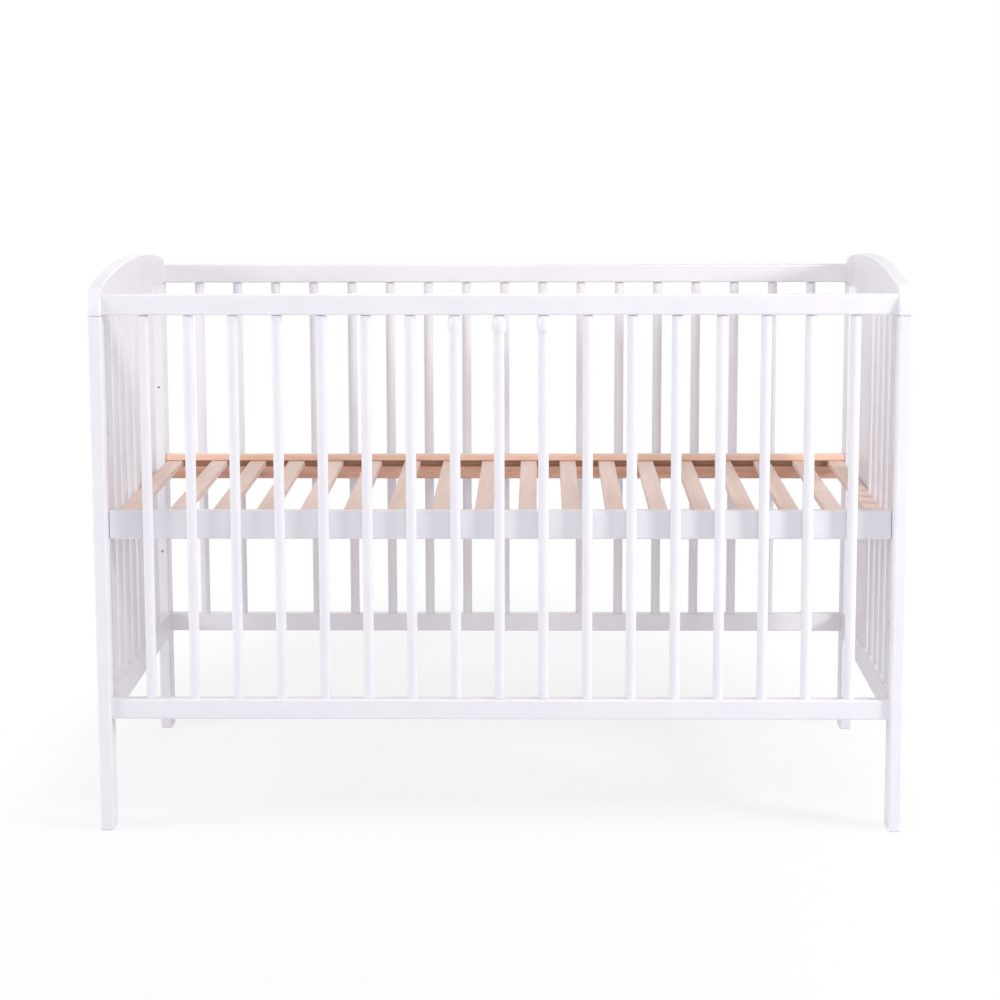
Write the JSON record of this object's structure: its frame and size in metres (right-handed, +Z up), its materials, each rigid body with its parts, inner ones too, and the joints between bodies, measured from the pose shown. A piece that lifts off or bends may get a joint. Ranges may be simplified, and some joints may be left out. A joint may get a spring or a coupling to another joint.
{
  "type": "baby crib",
  "caption": "Wooden crib with arched end panels, round bars, a slatted height-adjustable base and sprung lift-out front bars.",
  "frame": {"origin": "centre of the crib on the floor", "axes": "+X along the crib's length to the right, +Y to the back, +Z up; the lift-out bars face -Y"},
  "size_m": [1.24, 0.7, 0.866],
  "materials": {
    "white_paint": "satin white paint on wood",
    "beech_slat": "planed natural beech",
    "base_rail": "white paint outside and on top, natural beech on the inner face",
    "dowel_wood": "raw beech",
    "white_plastic": "smooth moulded",
    "plated_steel": "zinc plated"
  },
  "bodies": {
    "frame": {"back_bars": "white_paint", "back_bottom_rail": "white_paint", "back_top_rail": "white_paint", "bar_collar_1": "white_plastic", "bar_collar_2": "white_plastic", "bar_collar_3": "white_plastic", "bar_spring_1": "plated_steel", "bar_spring_2": "plated_steel", "bar_spring_3": "plated_steel", "barrel_nuts": "plated_steel", "base_back_rail": "base_rail", "base_front_rail": "base_rail", "base_pins": "plated_steel", "base_slat_1": "beech_slat", "base_slat_10": "beech_slat", "base_slat_11": "beech_slat", "base_slat_12": "beech_slat", "base_slat_13": "beech_slat", "base_slat_14": "beech_slat", "base_slat_15": "beech_slat", "base_slat_16": "beech_slat", "base_slat_17": "beech_slat", "base_slat_18": "beech_slat", "base_slat_2": "beech_slat", "base_slat_3": "beech_slat", "base_slat_4": "beech_slat", "base_slat_5": "beech_slat", "base_slat_6": "beech_slat", "base_slat_7": "beech_slat", "base_slat_8": "beech_slat", "base_slat_9": "beech_slat", "board_dowels": "dowel_wood", "front_bars_left": "white_paint", "front_bars_right": "white_paint", "front_bottom_rail": "white_paint", "front_top_rail": "white_paint", "left_back_post": "white_paint", "left_bottom_rail": "white_paint", "left_end_bar_1": "white_paint", "left_end_bar_2": "white_paint", "left_end_bar_3": "white_paint", "left_end_bar_4": "white_paint", "left_end_board": "white_paint", "left_front_post": "white_paint", "left_top_board": "white_paint", "lock_screws": "plated_steel", "rail_bolts": "plated_steel", "rail_dowels": "dowel_wood", "right_back_post": "white_paint", "right_bottom_rail": "white_paint", "right_end_bar_1": "white_paint", "right_end_bar_2": "white_paint", "right_end_bar_3": "white_paint", "right_end_bar_4": "white_paint", "right_end_board": "white_paint", "right_front_post": "white_paint", "right_top_board": "white_paint"},
    "lift_bar_1": {"lift_bar_1": "white_paint"},
    "lift_bar_2": {"lift_bar_2": "white_paint"},
    "lift_bar_3": {"lift_bar_3": "white_paint"}
  },
  "joints": [
    {"name": "lift_bar_1_lift", "type": "slide", "parent": "frame", "child": "lift_bar_1", "axis": [0, 0, 1], "range_m": [0, 0.01], "stiffness_N_per_m": 300, "springref_m": -0.02, "deforming": ["bar_spring_1"]},
    {"name": "lift_bar_2_lift", "type": "slide", "parent": "frame", "child": "lift_bar_2", "axis": [0, 0, 1], "range_m": [0, 0.01], "stiffness_N_per_m": 300, "springref_m": -0.02, "deforming": ["bar_spring_2"]},
    {"name": "lift_bar_3_lift", "type": "slide", "parent": "frame", "child": "lift_bar_3", "axis": [0, 0, 1], "range_m": [0, 0.01], "stiffness_N_per_m": 300, "springref_m": -0.02, "deforming": ["bar_spring_3"]}
  ]
}
